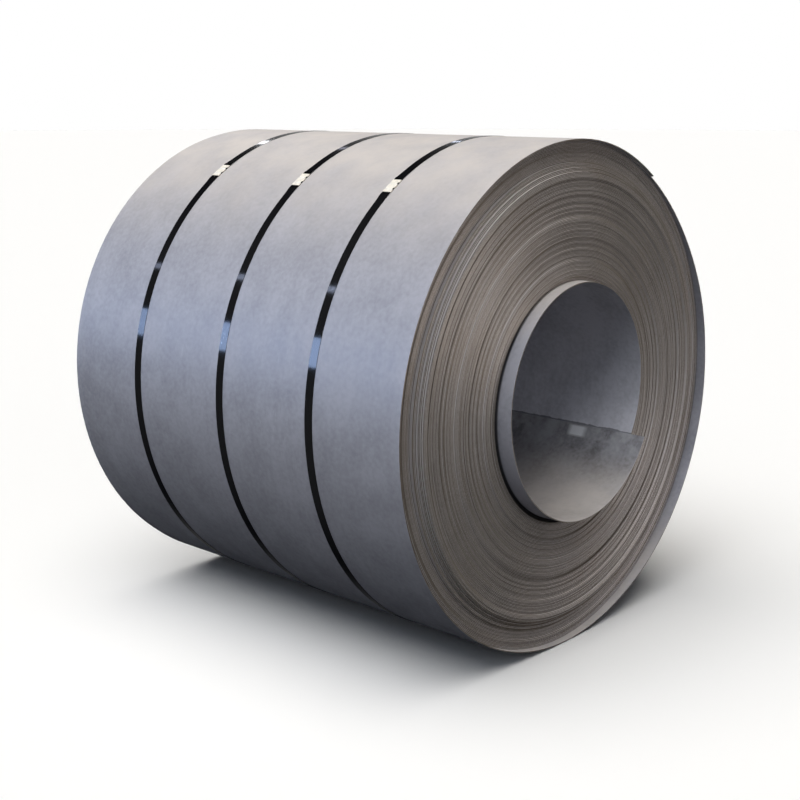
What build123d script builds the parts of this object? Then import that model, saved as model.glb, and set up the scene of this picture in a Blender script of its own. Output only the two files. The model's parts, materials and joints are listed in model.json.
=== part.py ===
"""Hot-rolled steel coil: strip wound round a horizontal eye and bound with three sealed steel straps.

Millimetres, +Z up. The coil lies on the floor with its eye along X, and the origin is on the floor
under the middle of its box. Angles are seen from the +X end: 0 along +Y, 90 straight up.
"""
import os
from math import acos, atan2, copysign, cos, degrees, hypot, radians, sin

from build123d import *

# The strip and the roll that it is wound into
strip_width = 1500.0
strip_thickness = 4.0
bore_radius = 381.0
outer_radius = 825.0
cut_overrun = 5.0

# The innermost turn starts at its cut end in the eye and stands out of the +X end
lead_angle = -27.0
lead_rise = 65.0
lead_fall = 57.0
lead_level_turn_share = 0.25
lead_lap_angle = 32.0
lap_depth_share = 0.9

# The outermost turn stops at its cut tail
tail_angle = 57.0
tail_lap_angle = 38.0

# How the strip edge wandered while the roll was wound: turns next to the innermost one, the pack in
# groups of turns, and the turns at the rim, which all are one strip width wide
edge_wander = 30.0
gap_turns = 3
gap_wander_share = -0.7
rim_turns = 2
pack_end_shares = [0.15, 0.30, 0.46, 0.60, 0.78, 0.84, 1.0]
pack_wander_shares = [-0.03, -0.15, -0.07, -0.20, -0.05, -0.47, -1.0]

# Steel straps drawn tight round the roll
strap_names = ["far", "middle", "near"]
strap_places = [-423.0, -10.0, 390.0]
strap_width = 32.0
strap_thickness = 1.0
strap_free_end = 14.0

# Crimped sleeve seals that hold the lapped strap ends
seal_angles = [122.0, 123.6, 123.8]
seal_length = 60.0
seal_sheet = 1.0
seal_lip_reach = 11.0
seal_side_clearance = 0.3
seal_fold_radius = 0.8
notch_length = 8.0
notch_depth = 3.0
notch_spacing = 26.0

# Places worked out from the sizes above
axis_height = outer_radius + strap_thickness
mid_x = (edge_wander - lead_rise) / 2
wound_length = strip_width + 2 * (lead_rise + edge_wander)
eye_axis = Axis((mid_x, 0, axis_height), (1, 0, 0))
eye_plane = Plane(origin=(mid_x, 0, axis_height), x_dir=(0, 1, 0), z_dir=(1, 0, 0))
section_plane = Plane(origin=(mid_x, 0, axis_height), x_dir=(1, 0, 0), z_dir=(0, -1, 0))


def heading(angle):
    """Direction in the eye plane at this angle."""
    return (cos(radians(angle)), sin(radians(angle)))


def polar(radius, angle):
    """Point of the eye plane at this radius and angle."""
    across, upward = heading(angle)
    return (radius * across, radius * upward)


def turn_groups():
    """Inner radius, outer radius and edge offset of each group of turns, from the eye outwards."""
    lead_outer = bore_radius + strip_thickness
    pack_inner = lead_outer + gap_turns * strip_thickness
    pack_outer = outer_radius - rim_turns * strip_thickness
    groups = [(bore_radius, lead_outer, lead_rise)]
    groups.append((lead_outer, pack_inner, gap_wander_share * edge_wander))
    inner = pack_inner
    for end_share, wander_share in zip(pack_end_shares, pack_wander_shares):
        outer = pack_inner + end_share * (pack_outer - pack_inner)
        groups.append((inner, outer, wander_share * edge_wander))
        inner = outer
    groups.append((pack_outer, outer_radius, 0))
    return groups


# Cutter that trims the innermost turn, whose edge falls back towards the pack along a helix
fall_turn_share = 1 - lead_level_turn_share
fall_start_x = strip_width / 2 + lead_rise - lead_fall
with BuildPart() as lead_edge_cut:
    with BuildLine() as lead_edge:
        Helix(
            pitch=lead_fall / fall_turn_share,
            height=lead_fall,
            radius=bore_radius,
            center=(mid_x + fall_start_x, 0, axis_height),
            direction=(1, 0, 0),
        )
    with BuildSketch(section_plane) as lead_edge_section:
        with BuildLine():
            Polyline(
                (fall_start_x, bore_radius - cut_overrun),
                (fall_start_x + lead_rise, bore_radius - cut_overrun),
                (fall_start_x + lead_rise, bore_radius + strip_thickness + cut_overrun),
                (fall_start_x, bore_radius + strip_thickness + cut_overrun),
                close=True,
            )
        make_face()
    sweep(is_frenet=True)
lead_edge_cutter = lead_edge_cut.part.rotate(eye_axis, lead_angle - 90)


def lap_cutter(wall_radius, inward, cut_angle, lap_turn):
    """Cutter for the stretch where the roll's wall is one turn short beside a cut end of the strip.

    The step is at cut_angle, one way round the eye. From there the wall comes back over lap_turn degrees.
    Inward is 1 where the step goes towards the axis and -1 where it goes away from it.
    """
    end_angle = cut_angle + lap_turn
    lap_radius = wall_radius - inward * lap_depth_share * strip_thickness
    clear_radius = wall_radius + inward * cut_overrun
    with BuildPart() as lap:
        with BuildSketch(eye_plane):
            with BuildLine():
                Line(polar(lap_radius, cut_angle), polar(clear_radius, cut_angle))
                CenterArc((0, 0), clear_radius, cut_angle, lap_turn)
                Line(polar(clear_radius, end_angle), polar(wall_radius, end_angle))
                TangentArc(
                    polar(wall_radius, end_angle),
                    polar(lap_radius, cut_angle),
                    tangent=heading(end_angle - copysign(90, lap_turn)),
                )
            make_face()
        extrude(amount=wound_length / 2, both=True)
    return lap.part


# The roll itself, turned from one rectangle for each group of turns, with its lead end and its tail cut free
with BuildPart() as steel_coil:
    with BuildSketch(section_plane) as wound_section:
        for inner, outer, offset_x in turn_groups():
            with Locations((offset_x, (inner + outer) / 2)):
                Rectangle(strip_width, outer - inner)
    revolve(axis=eye_axis)
    add(lead_edge_cutter, mode=Mode.SUBTRACT)
    add(lap_cutter(bore_radius, -1, lead_angle, lead_lap_angle), mode=Mode.SUBTRACT)
    add(lap_cutter(outer_radius, 1, tail_angle, -tail_lap_angle), mode=Mode.SUBTRACT)
steel_coil.part.label = "steel_coil"


def seal_plane(place_x, angle):
    """Plane across a strap under its seal: local x along the eye, y outwards, z along the strap."""
    across, upward = polar(outer_radius, angle)
    run_y, run_z = heading(angle + 90)
    return Plane(
        origin=(mid_x + place_x, across, axis_height + upward), x_dir=(1, 0, 0), z_dir=(0, run_y, run_z)
    )


def crimp_notches(plane):
    """Cutters for the crimp notches, which bite through both edges of a seal and the strap in it."""
    half_width = strap_width / 2 + seal_side_clearance + seal_sheet
    with BuildPart() as notches:
        with BuildSketch(Plane(origin=plane.origin, x_dir=plane.x_dir, z_dir=plane.y_dir)):
            with GridLocations(2 * half_width, notch_spacing, 2, 2):
                Rectangle(2 * notch_depth, notch_length)
        extrude(amount=seal_lip_reach, both=True)
    return notches.part


def make_strap(name, place_x, angle):
    """Make one strap: a taut band round the roll, with its ends lapped where the seal holds them."""
    bed_radius = outer_radius + seal_sheet
    bed_half = seal_length / 2 + strap_free_end
    lift_angle = degrees(atan2(bed_half, bed_radius) + acos(outer_radius / hypot(bed_half, bed_radius)))
    bed_plane = Plane(origin=eye_plane.origin, x_dir=seal_plane(place_x, angle).z_dir, z_dir=(-1, 0, 0))
    with BuildPart() as strap:
        with BuildSketch(bed_plane.offset(-place_x)) as band:
            with BuildLine() as taut_line:
                lift_off = polar(outer_radius, 90 - lift_angle)
                touch_down = polar(outer_radius, 90 + lift_angle)
                ThreePointArc(lift_off, (0, -outer_radius), touch_down)
                Polyline(touch_down, (-bed_half, bed_radius), (bed_half, bed_radius), lift_off)
            make_face()
            offset(amount=strap_thickness, kind=Kind.INTERSECTION)
            with Locations((0, bed_radius + strap_thickness)):
                Rectangle(2 * bed_half, 2 * strap_thickness)
            make_face(taut_line.edges(), mode=Mode.SUBTRACT)
        extrude(amount=strap_width / 2, both=True)
        add(crimp_notches(seal_plane(place_x, angle)), mode=Mode.SUBTRACT)
    strap.part.label = f"strap_{name}"
    return strap.part


def make_seal(name, place_x, angle):
    """Make one seal: a folded sleeve whose lips are tucked under the strap, notched at both edges."""
    pocket_width = strap_width + 2 * seal_side_clearance
    pocket_height = 2 * strap_thickness
    sleeve_width = pocket_width + 2 * seal_sheet
    sleeve_height = pocket_height + 2 * seal_sheet
    plane = seal_plane(place_x, angle)
    with BuildPart() as seal:
        with BuildSketch(plane):
            with Locations((0, sleeve_height / 2)):
                RectangleRounded(sleeve_width, sleeve_height, seal_fold_radius)
            with Locations((0, seal_sheet + pocket_height / 2)):
                Rectangle(pocket_width, pocket_height, mode=Mode.SUBTRACT)
            with Locations((0, seal_sheet / 2)):
                Rectangle(pocket_width - 2 * seal_lip_reach, seal_sheet, mode=Mode.SUBTRACT)
        extrude(amount=seal_length / 2, both=True)
        add(crimp_notches(plane), mode=Mode.SUBTRACT)
    seal.part.label = f"seal_{name}"
    return seal.part


os.makedirs("parts", exist_ok=True)
export_step(steel_coil.part, "parts/steel_coil.step")
for name, place_x, angle in zip(strap_names, strap_places, seal_angles):
    export_step(make_strap(name, place_x, angle), f"parts/strap_{name}.step")
    export_step(make_seal(name, place_x, angle), f"parts/seal_{name}.step")
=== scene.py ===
"""Steel coil in a plain studio: the wound strip, its straps and its seals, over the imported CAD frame.

Metres, +Z up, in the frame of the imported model. The eye of the coil lies along X. Angles are seen from
the +X end: 0 along +Y, 90 straight up. The strip is wound clockwise from its lead end in the eye to its
tail on the outside, and its turns are counted from 0 at the lead end.
"""
import json
import logging
import math
from collections.abc import Mapping
from dataclasses import dataclass
from enum import Enum

import bmesh
import bpy
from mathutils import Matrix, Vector


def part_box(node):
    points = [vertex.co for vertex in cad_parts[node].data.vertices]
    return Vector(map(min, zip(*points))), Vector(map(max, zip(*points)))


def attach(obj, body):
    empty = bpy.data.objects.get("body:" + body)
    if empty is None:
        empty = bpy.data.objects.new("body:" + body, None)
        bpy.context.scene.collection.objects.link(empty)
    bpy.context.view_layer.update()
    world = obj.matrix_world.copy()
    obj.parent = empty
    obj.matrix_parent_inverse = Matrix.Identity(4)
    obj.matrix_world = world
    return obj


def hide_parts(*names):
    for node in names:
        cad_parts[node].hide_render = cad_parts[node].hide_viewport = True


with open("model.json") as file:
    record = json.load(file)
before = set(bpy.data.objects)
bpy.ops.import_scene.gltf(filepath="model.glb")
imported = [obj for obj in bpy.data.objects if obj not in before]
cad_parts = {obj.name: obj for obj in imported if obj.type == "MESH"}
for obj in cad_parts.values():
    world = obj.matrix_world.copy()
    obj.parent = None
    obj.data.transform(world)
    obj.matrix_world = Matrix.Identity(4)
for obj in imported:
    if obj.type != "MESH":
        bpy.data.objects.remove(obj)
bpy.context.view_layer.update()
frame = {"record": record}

LOG = logging.getLogger("steel_coil")
MM = 0.001
TINY = 1e-6

Term = bpy.types.NodeSocket | float | int | str | tuple | bpy.types.Material
Outputs = Mapping[str, bpy.types.NodeSocket]
Colour = tuple[float, float, float]
Triple = tuple[float, float, float]
Pair = tuple[float, float]
WHITE: Colour = (1.0, 1.0, 1.0)


class Sheet(Enum):
    """Part of the wound strip's surface, each laid as one grid."""

    NEAR_END = "near_end"
    FAR_END = "far_end"
    BORE = "bore"
    OUTSIDE = "outside"
    LEAD_CUT = "lead_cut"


class Band(Enum):
    """Strap round the roll, by the ending of its CAD node names."""

    FAR = "far"
    MIDDLE = "middle"
    NEAR = "near"


class Fade(Enum):
    """How a value passes from one level to another."""

    STRAIGHT = "LINEAR"
    EASED = "SMOOTHSTEP"


def rgba(colour: Colour) -> tuple[float, float, float, float]:
    """Give a linear colour with full alpha."""
    return (*colour, 1.0)


class Wiring:
    """Writes a node tree as formulas: each call adds a node, feeds it and gives back its output."""

    # Values that noise along a line mostly lies between
    LINE_SPAN = (0.25, 0.75)

    def __init__(self, tree: bpy.types.NodeTree) -> None:
        """Keep the tree that the nodes go into."""
        self.tree = tree

    def feed(self, socket: bpy.types.NodeSocket, term: Term) -> None:
        """Link a socket to another one, or set its constant.

        Args:
            socket: Input that is fed.
            term: Output socket to link, or the constant.
        """
        if isinstance(term, bpy.types.NodeSocket):
            self.tree.links.new(term, socket)
        else:
            socket.default_value = term

    def node(self, kind: str, inputs: dict[str, Term] | None = None, **settings: object) -> bpy.types.Node:
        """Add a node.

        Args:
            kind: Blender's name for the node type.
            inputs: Terms by the name of the input socket.
            **settings: Properties of the node.

        Returns:
            The new node.
        """
        node = self.tree.nodes.new(kind)
        for name, value in settings.items():
            setattr(node, name, value)
        for name, term in (inputs or {}).items():
            self.feed(node.inputs[name], term)
        return node

    def group(self, tree: bpy.types.NodeTree, terms: dict[str, Term]) -> Outputs:
        """Place a node group.

        Args:
            tree: Tree of the group, of the same type as this one.
            terms: Terms by name, of which the group takes the ones that it has an input for.

        Returns:
            The outputs of the group.
        """
        node = self.node(self.tree.bl_idname.replace("Tree", "Group"), node_tree=tree)
        for socket in node.inputs:
            if socket.name in terms:
                self.feed(socket, terms[socket.name])
        return node.outputs

    def through(self, kind: str, geometry: Term, **inputs: Term) -> bpy.types.NodeSocket:
        """Pass a geometry through a node with these inputs."""
        return self.node(kind, {"Geometry": geometry, **inputs}).outputs[0]

    def store(
        self, geometry: Term, name: str, data_type: str, domain: str, value: Term
    ) -> bpy.types.NodeSocket:
        """Store a named attribute.

        Args:
            geometry: Geometry that gets it.
            name: Name of the attribute.
            data_type: Type of its values.
            domain: What it is stored on.
            value: Values to store.

        Returns:
            The geometry with the attribute.
        """
        inputs = {"Geometry": geometry, "Name": name, "Value": value}
        kind = "GeometryNodeStoreNamedAttribute"
        return self.node(kind, inputs, data_type=data_type, domain=domain).outputs[0]

    def math(self, operation: str, *terms: Term) -> bpy.types.NodeSocket:
        """Give the result of a scalar operation on the terms."""
        node = self.node("ShaderNodeMath", operation=operation)
        for socket, term in zip(node.inputs, terms):
            self.feed(socket, term)
        return node.outputs[0]

    def total(self, *terms: Term) -> bpy.types.NodeSocket:
        """Give the sum of two or more terms."""
        result = terms[0]
        for term in terms[1:]:
            result = self.math("ADD", result, term)
        return result

    def product(self, *terms: Term) -> bpy.types.NodeSocket:
        """Give the product of two or more terms."""
        result = terms[0]
        for term in terms[1:]:
            result = self.math("MULTIPLY", result, term)
        return result

    def rest(self, term: Term) -> bpy.types.NodeSocket:
        """Give what a share leaves of 1."""
        return self.math("SUBTRACT", 1.0, term)

    def fade(
        self, value: Term, start: Term, end: Term, first: Term, last: Term, shape: Fade = Fade.STRAIGHT
    ) -> bpy.types.NodeSocket:
        """Pass from one level to another while a value crosses a span, and hold them outside it.

        Args:
            value: Value that crosses the span.
            start: Where the span starts.
            end: Where the span ends.
            first: Level before the span.
            last: Level after the span.
            shape: How the level changes inside the span.

        Returns:
            The level.
        """
        inputs = {"Value": value, "From Min": start, "From Max": end, "To Min": first, "To Max": last}
        return self.node("ShaderNodeMapRange", inputs, interpolation_type=shape.value).outputs["Result"]

    def mix(self, factor: Term, first: Term, second: Term, kind: str = "FLOAT") -> bpy.types.NodeSocket:
        """Mix two terms.

        Args:
            factor: Share of the second term.
            first: Term at factor 0.
            second: Term at factor 1.
            kind: FLOAT for values, RGBA for colours.

        Returns:
            The mixed value or colour.
        """
        node = self.node("ShaderNodeMix", data_type=kind)
        ending = {"FLOAT": "Float", "RGBA": "Color"}[kind]
        sockets = {socket.identifier: socket for socket in node.inputs}
        self.feed(sockets["Factor_Float"], factor)
        self.feed(sockets[f"A_{ending}"], first)
        self.feed(sockets[f"B_{ending}"], second)
        return next(socket for socket in node.outputs if socket.identifier == f"Result_{ending}")

    def blend(self, factor: Term, first: Term, second: Term) -> bpy.types.NodeSocket:
        """Mix two colours, of which each may be a socket or a constant."""
        colours = [rgba(colour) if isinstance(colour, tuple) else colour for colour in (first, second)]
        return self.mix(factor, *colours, "RGBA")

    def curve(self, value: Term, points: tuple[Pair, ...]) -> bpy.types.NodeSocket:
        """Read a curve given by its points.

        Args:
            value: Where the curve is read, from 0 to 1.
            points: Places and heights of the curve, both from 0 to 1.

        Returns:
            The height of the curve.
        """
        node = self.node("ShaderNodeFloatCurve", {"Value": value})
        line = node.mapping.curves[0]
        line.points[0].location = points[0]
        line.points[-1].location = points[-1]
        for place, height in points[1:-1]:
            line.points.new(place, height)
        for point in line.points:
            point.handle_type = "AUTO_CLAMPED"
        node.mapping.update()
        return node.outputs["Value"]

    def vector(self, x: Term, y: Term, z: Term) -> bpy.types.NodeSocket:
        """Give the vector with these components."""
        return self.node("ShaderNodeCombineXYZ", {"X": x, "Y": y, "Z": z}).outputs["Vector"]

    def round_axis(self, along: Term, radius: Term, angle: Term) -> bpy.types.NodeSocket:
        """Give a point by its place along X, its distance from the X axis and its angle round it.

        Args:
            along: Place along X.
            radius: Distance from the axis.
            angle: Angle round the axis, in radians.

        Returns:
            The point.
        """
        y = self.product(radius, self.math("COSINE", angle))
        z = self.product(radius, self.math("SINE", angle))
        return self.vector(along, y, z)

    def from_axis(self, place: Term, axis_height: float) -> tuple[bpy.types.NodeSocket, ...]:
        """Take a place apart as it lies to the axis of the eye.

        Args:
            place: Object coordinates.
            axis_height: Height of the axis over the floor.

        Returns:
            Its place along the axis, across it and over it, and its distance from the axis.
        """
        split = self.node("ShaderNodeSeparateXYZ", {"Vector": place}).outputs
        over = self.total(split["Z"], -axis_height)
        squares = self.total(self.product(split["Y"], split["Y"]), self.product(over, over))
        return split["X"], split["Y"], over, self.math("SQRT", squares)

    def noise(self, vector: Term, scale: Term, detail: float, roughness: float = 0.5) -> bpy.types.NodeSocket:
        """Give solid noise between 0 and 1.

        Args:
            vector: Where the noise is read.
            scale: Waves per unit of the vector.
            detail: Number of finer octaves.
            roughness: Weight of the finer octaves.

        Returns:
            The noise value.
        """
        inputs = {"Vector": vector, "Scale": scale, "Detail": detail, "Roughness": roughness}
        return self.node("ShaderNodeTexNoise", inputs).outputs["Fac"]

    def line_noise(self, place: Term, scale: Term, seed: Term) -> bpy.types.NodeSocket:
        """Give noise between -1 and 1 along a line.

        Args:
            place: Where on the line the noise is read.
            scale: Waves per unit of the line.
            seed: Shift that picks another line.

        Returns:
            The noise value.
        """
        inputs = {"W": self.total(self.product(place, scale), seed), "Scale": 1.0, "Detail": 1.0}
        node = self.node("ShaderNodeTexNoise", inputs, noise_dimensions="1D")
        return self.fade(node.outputs["Fac"], *self.LINE_SPAN, -1.0, 1.0)


@dataclass(frozen=True)
class RollSizes:
    """Sizes of the roll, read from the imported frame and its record.

    Attributes:
        eye_x: Middle of the innermost turn along X.
        axis_height: Height of the eye's axis over the floor.
        bore_radius: Radius of the eye.
        outer_radius: Radius over the last turn.
        strip_width: Width of the strip, which is the length of the eye.
    """

    eye_x: float
    axis_height: float
    bore_radius: float
    outer_radius: float
    strip_width: float

    @classmethod
    def from_frame(cls) -> "RollSizes":
        """Read the sizes from the eye in the record and the box of the CAD roll."""
        eye = frame["record"]["mounts"][0]
        low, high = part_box("steel_coil")
        return cls(
            eye_x=eye["pos_m"][0],
            axis_height=eye["pos_m"][2],
            bore_radius=eye["dims"]["r_mm"] * MM,
            outer_radius=round((high.y - low.y) / 2, 3),
            strip_width=eye["dims"]["length_mm"] * MM,
        )


def floats(*names: str) -> dict[str, str]:
    """Give the socket types of value sockets with these names."""
    return dict.fromkeys(names, "NodeSocketFloat")


def start_tree(
    name: str, kind: str, inputs: dict[str, str], outputs: dict[str, str]
) -> tuple[Wiring, Outputs]:
    """Start a node tree with named sockets.

    Args:
        name: Name of the tree.
        kind: Type of the tree.
        inputs: Socket types of the inputs by name.
        outputs: Socket types of the outputs by name.

    Returns:
        The wiring of the tree and what its inputs give.
    """
    tree = bpy.data.node_groups.new(name, kind)
    for way, sockets in (("INPUT", inputs), ("OUTPUT", outputs)):
        for socket_name, socket_type in sockets.items():
            tree.interface.new_socket(socket_name, in_out=way, socket_type=socket_type)
    w = Wiring(tree)
    return w, w.node("NodeGroupInput").outputs


def size_sockets(sizes: dict[str, float | int]) -> dict[str, str]:
    """Give the socket types of a piece's sizes, which are counts or values."""
    return {
        name: "NodeSocketInt" if isinstance(size, int) else "NodeSocketFloat"
        for name, size in sizes.items()
    }


def start_piece(name: str, sizes: dict[str, float | int]) -> tuple[Wiring, Outputs]:
    """Start the Geometry Nodes tree of a piece.

    Args:
        name: Name of the tree.
        sizes: Sizes of the piece by the name of the input.

    Returns:
        The wiring of the tree and what its inputs give.
    """
    inputs = {**size_sockets(sizes), "Centre": "NodeSocketVector", "Material": "NodeSocketMaterial"}
    w, given = start_tree(name, "GeometryNodeTree", inputs, {"Geometry": "NodeSocketGeometry"})
    w.tree.is_modifier = True
    return w, given


def mark_sharp(w: Wiring, geometry: Term, angle: float, where: Term = 1.0) -> bpy.types.NodeSocket:
    """Mark folded edges as sharp.

    Args:
        w: Wiring of the tree.
        geometry: Geometry with the edges.
        angle: Fold past which an edge is sharp, in degrees.
        where: Mask of the edges that may be sharp.

    Returns:
        The geometry with its sharp edges.
    """
    fold = w.node("GeometryNodeInputMeshEdgeAngle").outputs["Unsigned Angle"]
    folded = w.math("GREATER_THAN", fold, math.radians(angle))
    return w.store(geometry, "sharp_edge", "BOOLEAN", "EDGE", w.product(folded, where))


def end_piece(w: Wiring, given: Outputs, geometry: Term) -> None:
    """End the tree of a piece: shade it smooth, make it real and give it its material.

    Args:
        w: Wiring of the tree.
        given: What the tree's inputs give.
        geometry: Geometry of the piece.
    """
    geometry = w.through("GeometryNodeSetShadeSmooth", geometry)
    geometry = w.through("GeometryNodeRealizeInstances", geometry)
    geometry = w.through("GeometryNodeSetMaterial", geometry, Material=given["Material"])
    w.node("NodeGroupOutput", {"Geometry": geometry})


def add_object(name: str, data: bpy.types.ID) -> bpy.types.Object:
    """Put an object into the scene.

    Args:
        name: Name of the object.
        data: Its mesh, lamp or camera.

    Returns:
        The object.
    """
    added = bpy.data.objects.new(name, data)
    bpy.context.scene.collection.objects.link(added)
    return added


def grown_mesh(name: str, tree: bpy.types.NodeTree, values: dict[str, object]) -> bpy.types.Object:
    """Grow a piece with Geometry Nodes and keep the result as a plain mesh.

    Args:
        name: Name of the piece.
        tree: Geometry Nodes tree that makes it.
        values: Values of the tree's inputs by name.

    Returns:
        The piece, at the origin and without modifiers.
    """
    piece = add_object(name, bpy.data.meshes.new(f"{name}_seed"))
    modifier = piece.modifiers.new("grow", "NODES")
    modifier.node_group = tree
    for item in tree.interface.items_tree:
        if item.in_out == "INPUT" and item.name in values:
            modifier[item.identifier] = values[item.name]
    bpy.context.view_layer.update()
    grown = piece.evaluated_get(bpy.context.evaluated_depsgraph_get())
    mesh = bpy.data.meshes.new_from_object(grown)
    piece.modifiers.clear()
    piece.data = mesh
    mesh.name = name
    return piece


def report(piece: bpy.types.Object) -> None:
    """Log the triangle count of a finished piece."""
    piece.data.calc_loop_triangles()
    LOG.info("%s: %d triangles", piece.name, len(piece.data.loop_triangles))


@dataclass
class WoundStrip:
    """The roll: one strip wound in a spiral, whose edges wander in and out at the ends.

    Attributes:
        sizes: Sizes of the roll.
        thickness: Thickness of the strip.
        segments: Steps round one turn.
        lead_angle: Angle of the cut end in the eye, in degrees.
        lead_lap: Part of a turn over which the first turn climbs over the lead end.
        tail_angle: Angle of the cut end outside, in degrees.
        tail_lap: Part of a turn over which the last turn climbs past the tail.
        tail_slit: Part of a turn between the two columns of points at the tail.
        lead_rise: How far the innermost turn stands out at its lead end.
        lead_level: Part of the first turn that stands out in full.
        lead_fall: How far its edge falls over the rest of the first turn.
        gap_depth: How far back the turns next to it lie, at most.
        gap_least_share: Share of that depth on the opposite side of the eye.
        gap_angle: Angle at which they lie deepest, in degrees.
        gap_turns: Turn at which the edge has come forward again.
        gap_ease: Part of a turn over which the edge goes back, and over which it comes forward.
        wander: Depth of the edge where the curve of the pack is at 0.
        pack_curve: Edge of the pack over the turns; 1 is flush, 0 is the full wander.
        rim_turns: Last turns, whose edge follows the rim curve.
        rim_span: Height of the rim curve, as a share of the wander.
        rim_curve: Edge of the last turns; 1 stands out by half the wander, 0 is the full wander.
        groove_width: Gap between two turns at their edges.
        groove_depth: Depth of that gap.
        round_wall: Height of the step between two turns up to which their corners are shaded round.
        sharp_angle: Fold past which the corners of higher steps are sharp, in degrees.
        weld: Distance up to which the sheets' points are joined.
        flutter: Size of the small waves of the edge.
        waves: Waves per turn, shift of the seed and share of each kind of small wave.
        seed: Shift that picks the waves.
    """

    sizes: RollSizes
    thickness: float = 4 * MM
    segments: int = 128
    lead_angle: float = -27.0
    lead_lap: float = 32 / 360
    tail_angle: float = 57.0
    tail_lap: float = 38 / 360
    tail_slit: float = 1e-4
    lead_rise: float = 65 * MM
    lead_level: float = 0.25
    lead_fall: float = 57 * MM
    gap_depth: float = 21 * MM
    gap_least_share: float = 0.2
    gap_angle: float = 205.0
    gap_turns: float = 4.0
    gap_ease: float = 0.4
    wander: float = 29 * MM
    pack_curve: tuple[Pair, ...] = (
        (0.0, 0.97), (0.15, 0.97), (0.17, 0.85), (0.30, 0.85), (0.32, 0.93), (0.45, 0.93), (0.47, 0.80),
        (0.60, 0.80), (0.62, 0.90), (0.71, 0.90), (0.73, 1.0), (0.775, 1.0), (0.785, 0.68), (0.80, 0.68),
        (0.81, 0.38), (0.835, 0.38), (0.845, 0.03), (0.91, 0.0), (0.92, 0.12), (1.0, 0.12),
    )
    rim_turns: float = 1.5
    rim_span: float = 1.5
    rim_curve: tuple[Pair, ...] = (
        (0.0, 0.07), (0.22, 0.10), (0.34, 0.26), (0.43, 0.76), (0.50, 0.90), (0.60, 0.68), (0.75, 0.66),
        (0.88, 0.66), (1.0, 0.42),
    )
    groove_width: float = 0.8 * MM
    groove_depth: float = 0.25 * MM
    round_wall: float = 3 * MM
    sharp_angle: float = 30.0
    weld: float = 0.02 * MM
    flutter: float = 1.1 * MM
    waves: tuple[Triple, ...] = ((0.37, 0.0, 0.6), (2.3, 50.0, 0.4))
    seed: float = 4.0

    # Rows of points on one turn: the foot of the groove under it and the two corners of its edge
    TURN_ROWS = 3

    # Start and height of each sheet's band in the bake layout
    BAKE_BANDS = {
        Sheet.NEAR_END: (0.0, 0.30),
        Sheet.FAR_END: (0.31, 0.26),
        Sheet.OUTSIDE: (0.58, 0.24),
        Sheet.BORE: (0.83, 0.15),
        Sheet.LEAD_CUT: (0.985, 0.01),
    }

    @property
    def full_turns(self) -> int:
        """Whole turns between the lead end and the tail."""
        return round((self.sizes.outer_radius - self.sizes.bore_radius) / self.thickness) - 1

    @property
    def tail_share(self) -> float:
        """Part of a turn from the lead angle, clockwise, to the tail."""
        return (self.lead_angle - self.tail_angle) / 360 % 1

    @property
    def inputs(self) -> dict[str, float | int]:
        """Sizes by the name of the input that takes them."""
        return {
            "Bore Radius": self.sizes.bore_radius,
            "Thickness": self.thickness,
            "Width": self.sizes.strip_width,
            "Turns": self.full_turns,
            "Segments": self.segments,
            "Lead Angle": math.radians(self.lead_angle),
            "Lead Lap": self.lead_lap,
            "Lead Rise": self.lead_rise,
            "Lead Level": self.lead_level,
            "Lead Fall": self.lead_fall,
            "Gap Depth": self.gap_depth,
            "Gap Least": self.gap_least_share,
            "Gap Angle": math.radians(self.gap_angle),
            "Gap Turns": self.gap_turns,
            "Wander": self.wander,
            "Rim Turns": self.rim_turns,
            "Tail Share": self.tail_share,
            "Tail Lap": self.tail_lap,
            "Groove Width": self.groove_width,
            "Groove Depth": self.groove_depth,
            "Round Wall": self.round_wall,
            "Flutter": self.flutter,
            "Seed": self.seed,
        }

    def build(self, finish: bpy.types.Material) -> bpy.types.Object:
        """Grow the roll.

        Args:
            finish: Material of the strip.

        Returns:
            The roll as a plain mesh.
        """
        centre = (self.sizes.eye_x - self.lead_rise, 0.0, self.sizes.axis_height)
        values = {**self.inputs, "Centre": centre, "Material": finish}
        return grown_mesh("wound_strip", self._roll_tree(), values)

    def dress(self, piece: bpy.types.Object) -> None:
        """Put the roll in the place of the CAD roll."""
        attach(piece, "root")
        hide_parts("steel_coil")

    def _wander_tree(self) -> bpy.types.NodeTree:
        """Make the group that gives the offset of the strip's edge at a turn."""
        inputs = floats(
            "Turn", "Turns", "Tail Share", "Wander", "Lead Angle", "Lead Rise", "Lead Level", "Lead Fall",
            "Gap Depth", "Gap Least", "Gap Angle", "Gap Turns", "Rim Turns", "Flutter", "Seed",
        )
        w, given = start_tree("edge_wander", "GeometryNodeTree", inputs, floats("Offset"))
        turn, wander = given["Turn"], given["Wander"]
        last_turn = w.total(given["Turns"], given["Tail Share"])
        pack = w.curve(w.math("DIVIDE", turn, last_turn), self.pack_curve)
        pack = w.product(w.total(pack, -1.0), wander)

        # Innermost turn, and the gap beside it, which is deepest at its own angle
        fallen = w.math("SUBTRACT", given["Lead Rise"], given["Lead Fall"])
        lead = w.fade(turn, given["Lead Level"], 1.0, given["Lead Rise"], fallen)
        deepest_at = w.math("SUBTRACT", given["Gap Angle"], given["Lead Angle"])
        from_deepest = w.math("COSINE", w.total(w.product(turn, math.tau), deepest_at))
        deepest = w.product(given["Gap Depth"], -1.0)
        depth = w.fade(from_deepest, -1.0, 1.0, w.product(deepest, given["Gap Least"]), deepest)
        forward = w.total(given["Gap Turns"], -self.gap_ease)
        gap = w.product(depth, w.fade(turn, forward, given["Gap Turns"], 1.0, 0.0, Fade.EASED))
        inner = w.mix(w.fade(turn, 1.0, 1.0 + self.gap_ease, 0.0, 1.0, Fade.EASED), lead, gap)

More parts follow.
